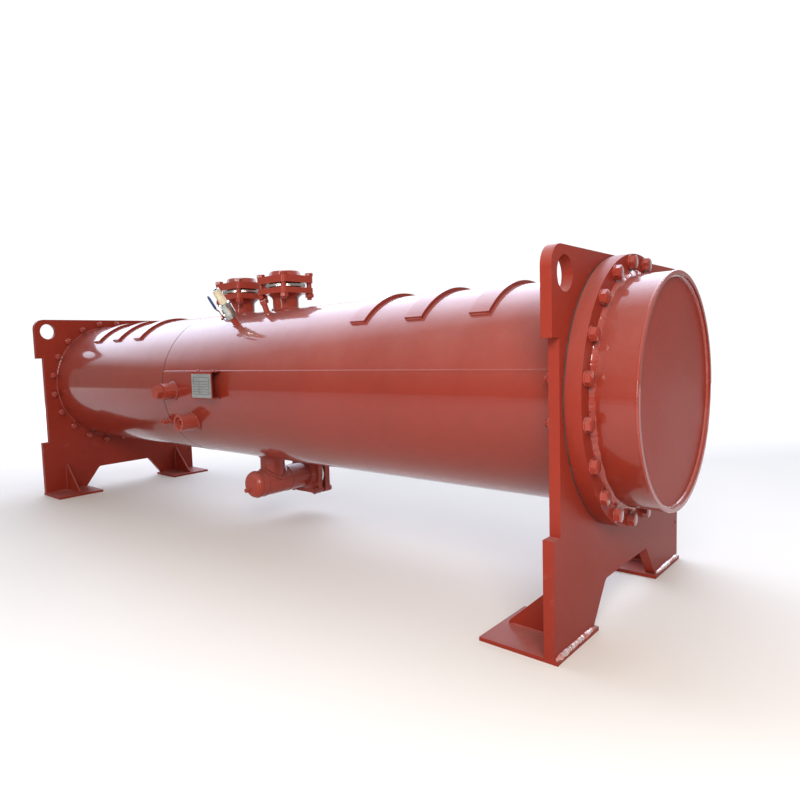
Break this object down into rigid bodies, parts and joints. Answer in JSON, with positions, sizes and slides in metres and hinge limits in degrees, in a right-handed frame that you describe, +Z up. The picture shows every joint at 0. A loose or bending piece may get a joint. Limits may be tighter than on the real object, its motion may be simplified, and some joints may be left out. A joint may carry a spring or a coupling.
{
  "type": "shell and tube heat exchanger",
  "caption": "Horizontal shell and tube heat exchanger on plate legs, with bolted water boxes, blanked square nozzles, plugged couplings and a small ball valve.",
  "frame": {"origin": "on the floor, in the middle of the box round the exchanger", "axes": "+X along the shell to the end with the plain cover, +Z up, -Y the side with the valve and couplings"},
  "size_m": [3.224, 0.9, 1.028],
  "materials": {
    "red_oxide_paint": "satin gloss red oxide primer",
    "bright_steel": "machined",
    "gasket_sheet": "matt",
    "plate_aluminium": "etched, blank",
    "valve_nickel": "nickel plated",
    "valve_steel": "steel with paint overspray",
    "blue_vinyl": "dipped",
    "cream_wrap": "sealing tape"
  },
  "bodies": {
    "exchanger": {"coupling_plugs": "red_oxide_paint", "end_cover_plain_end": "red_oxide_paint", "end_cover_water_end": "red_oxide_paint", "foot_plates_plain_end": "red_oxide_paint", "foot_plates_water_end": "red_oxide_paint", "gasket_plain_end": "gasket_sheet", "gasket_water_end": "gasket_sheet", "gussets_plain_end": "red_oxide_paint", "gussets_water_end": "red_oxide_paint", "nameplate": "plate_aluminium", "nameplate_bracket": "red_oxide_paint", "outlet_barrel": "red_oxide_paint", "outlet_blank_flange": "red_oxide_paint", "outlet_drain_plug": "red_oxide_paint", "outlet_drop_pipe": "red_oxide_paint", "outlet_flange": "red_oxide_paint", "outlet_seal_ring": "bright_steel", "pipe_wrap": "cream_wrap", "ring_flange_plain_end": "red_oxide_paint", "ring_flange_water_end": "red_oxide_paint", "shell_long_course": "red_oxide_paint", "shell_short_course": "red_oxide_paint", "side_couplings": "red_oxide_paint", "side_stub": "red_oxide_paint", "top_nozzle_plain_side_blank_flange": "red_oxide_paint", "top_nozzle_plain_side_flange": "red_oxide_paint", "top_nozzle_plain_side_neck": "red_oxide_paint", "top_nozzle_plain_side_seal_ring": "bright_steel", "top_nozzle_water_side_blank_flange": "red_oxide_paint", "top_nozzle_water_side_flange": "red_oxide_paint", "top_nozzle_water_side_neck": "red_oxide_paint", "top_nozzle_water_side_seal_ring": "bright_steel", "top_strips_plain_end": "red_oxide_paint", "top_strips_water_end": "red_oxide_paint", "tubesheet_plain_end": "red_oxide_paint", "tubesheet_water_end": "red_oxide_paint", "valve_body": "valve_nickel", "valve_outlet_pipe": "red_oxide_paint", "valve_stub": "red_oxide_paint", "vent_cap": "red_oxide_paint", "vent_stub": "red_oxide_paint", "water_box_plain_end": "red_oxide_paint", "water_box_water_end": "red_oxide_paint", "water_flange_lower": "red_oxide_paint", "water_flange_upper": "red_oxide_paint", "water_pipe_lower": "red_oxide_paint", "water_pipe_upper": "red_oxide_paint"},
    "valve_handle": {"valve_lever": "valve_steel", "lever_grip": "blue_vinyl"}
  },
  "joints": [
    {"name": "valve_lever_turn", "type": "hinge", "parent": "exchanger", "child": "valve_handle", "pos_m": [0.09, -0.26015, 0.87101], "axis": [-0.5446, -0.6828, -0.487], "range_deg": [-90, 0]}
  ]
}
